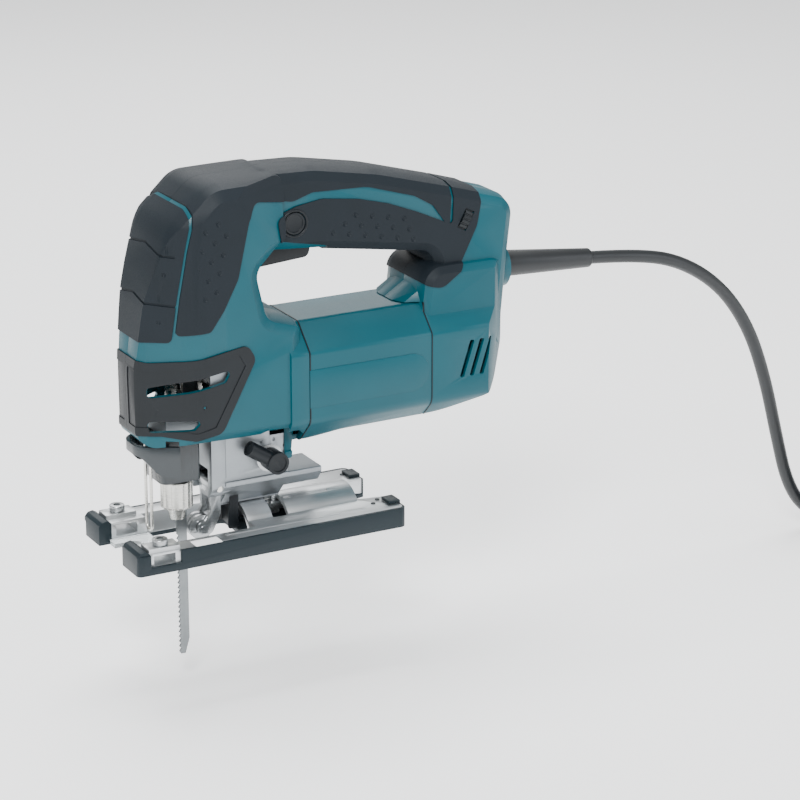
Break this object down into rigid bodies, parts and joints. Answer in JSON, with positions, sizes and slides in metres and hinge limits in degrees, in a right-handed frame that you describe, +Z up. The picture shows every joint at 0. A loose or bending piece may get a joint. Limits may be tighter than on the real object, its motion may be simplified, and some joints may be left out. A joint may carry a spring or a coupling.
{
  "type": "jigsaw power tool",
  "caption": "Corded top-handle jigsaw with orbital-action lever, tilting metal base in a plastic cover, quick blade clamp, roller guide and a coiled lead with plug.",
  "frame": {"origin": "centre of the underside of the base's cover plate, on the bevel axis", "axes": "+X to the rear, along the base; +Y to the tool's right; +Z up through the handle"},
  "size_m": [0.608, 0.127, 0.3001],
  "materials": {
    "teal_plastic": "glass-filled nylon, fine moulded grain",
    "soft_grip": "moulded elastomer",
    "dark_plastic": "moulded",
    "smoked_plastic": "smoked, satin",
    "cast_aluminium": "die cast, satin",
    "base_cover": "moulded, matt",
    "steel": "satin",
    "blade_steel": "ground",
    "electrical_steel": "laminated, varnished",
    "copper": "turned",
    "bronze": "sintered",
    "circuit": "lacquered",
    "clear_plastic": "clear, polished",
    "cord_rubber": "matt",
    "pin_brass": "nickelled"
  },
  "bodies": {
    "housing": {"housing_left": "teal_plastic", "housing_right": "teal_plastic", "motor_housing": "teal_plastic", "housing_screws": "steel", "grip_top_left": "soft_grip", "grip_top_right": "soft_grip", "grip_inner_left": "soft_grip", "grip_inner_right": "soft_grip", "grip_front": "soft_grip", "vent_cover_left": "dark_plastic", "vent_cover_right": "dark_plastic", "gear_housing": "cast_aluminium", "hinge_pins": "steel", "retainer_holder": "dark_plastic", "plunger_guides": "cast_aluminium", "plunger_bushes": "bronze", "gear_axle": "steel", "plunger_shroud": "smoked_plastic", "finger_guard": "steel", "armature_bearings": "steel", "field_stator": "electrical_steel", "brush_holders": "dark_plastic", "carbon_brushes": "copper", "base_bolt": "steel", "switch_body": "dark_plastic", "control_board": "circuit", "cord_clamp": "dark_plastic", "cord_guard": "cord_rubber", "cord_run": "cord_rubber", "cord_coil": "cord_rubber", "cord_tie": "cord_rubber", "plug_body": "cord_rubber", "plug_pins": "pin_brass", "trigger_spring": "steel"},
    "crank": {"crank_gear": "steel", "crank_pin": "steel"},
    "armature": {"armature_shaft": "steel", "armature_core": "electrical_steel", "commutator": "copper", "cooling_fan": "dark_plastic"},
    "plunger": {"plunger": "steel", "yoke": "steel", "clamp_collar": "steel", "clamp_spring": "steel", "saw_blade": "blade_steel"},
    "sleeve": {"clamp_sleeve": "steel"},
    "balance": {"balance_plate": "steel"},
    "fork": {"roller_fork": "steel", "roller_pin": "steel"},
    "roller": {"guide_roller": "steel"},
    "orbit_lever": {"orbit_lever": "dark_plastic"},
    "opener": {"tool_opener": "smoked_plastic"},
    "shoe": {"clamp_shoe": "steel"},
    "base": {"base_plate": "cast_aluminium", "cover_plate": "base_cover", "fence_screws": "steel", "splinter_guard": "clear_plastic"},
    "trigger": {"trigger": "dark_plastic"},
    "lock_button": {"lock_button": "dark_plastic"},
    "dial": {"speed_dial": "dark_plastic"}
  },
  "joints": [
    {"name": "armature_spin", "type": "hinge", "parent": "housing", "child": "armature", "pos_m": [0, 0, 0.091], "axis": [1, 0, 0], "continuous": true},
    {"name": "crank_spin", "type": "hinge", "parent": "housing", "child": "crank", "pos_m": [-0.022, 0, 0.11732], "axis": [1, 0, 0], "continuous": true},
    {"name": "plunger_stroke", "type": "slide", "parent": "housing", "child": "plunger", "axis": [0, 0, 1], "range_m": [-0.005, 0.021]},
    {"name": "balance_travel", "type": "slide", "parent": "housing", "child": "balance", "axis": [0, 0, 1], "range_m": [-0.0084, 0.002]},
    {"name": "clamp_turn", "type": "hinge", "parent": "plunger", "child": "sleeve", "pos_m": [-0.043, 0, 0.03], "axis": [0, 0, 1], "range_deg": [0, 50]},
    {"name": "opener_swing", "type": "hinge", "parent": "housing", "child": "opener", "pos_m": [-0.0525, 0.0175, 0.056], "axis": [0, 0, -1], "range_deg": [0, 60]},
    {"name": "fork_swing", "type": "hinge", "parent": "housing", "child": "fork", "pos_m": [-0.0225, 0, 0.0335], "axis": [0, 1, 0], "range_deg": [-4, 0]},
    {"name": "roller_spin", "type": "hinge", "parent": "fork", "child": "roller", "pos_m": [-0.02975, 0, 0.0085], "axis": [0, 1, 0], "continuous": true},
    {"name": "orbit_select", "type": "hinge", "parent": "housing", "child": "orbit_lever", "pos_m": [0.008, -0.02, 0.0475], "axis": [0, 1, 0], "range_deg": [0, 100]},
    {"name": "base_slide", "type": "slide", "parent": "housing", "child": "shoe", "axis": [1, 0, 0], "range_m": [0, 0.005]},
    {"name": "base_bevel", "type": "hinge", "parent": "shoe", "child": "base", "pos_m": [0, 0, 0], "axis": [1, 0, 0], "range_deg": [-45, 45]},
    {"name": "trigger_pull", "type": "slide", "parent": "housing", "child": "trigger", "axis": [0, 0, 1], "range_m": [0, 0.005], "stiffness_N_per_m": 900, "springref_m": -0.006, "deforming": ["trigger_spring"]},
    {"name": "lock_press", "type": "slide", "parent": "housing", "child": "lock_button", "axis": [0, 1, 0], "range_m": [0, 0.003], "stiffness_N_per_m": 500, "springref_m": -0.003},
    {"name": "speed_set", "type": "hinge", "parent": "housing", "child": "dial", "pos_m": [0.1315, -0.011, 0.172], "axis": [0.8821, 0, -0.4711], "range_deg": [-130, 130]}
  ],
  "couplings": [
    {"joint": "armature_spin", "follows": "crank_spin", "ratio": -8},
    {"joint": "balance_travel", "follows": "plunger_stroke", "ratio": -0.4},
    {"joint": "clamp_turn", "follows": "opener_swing", "ratio": 0.8}
  ]
}
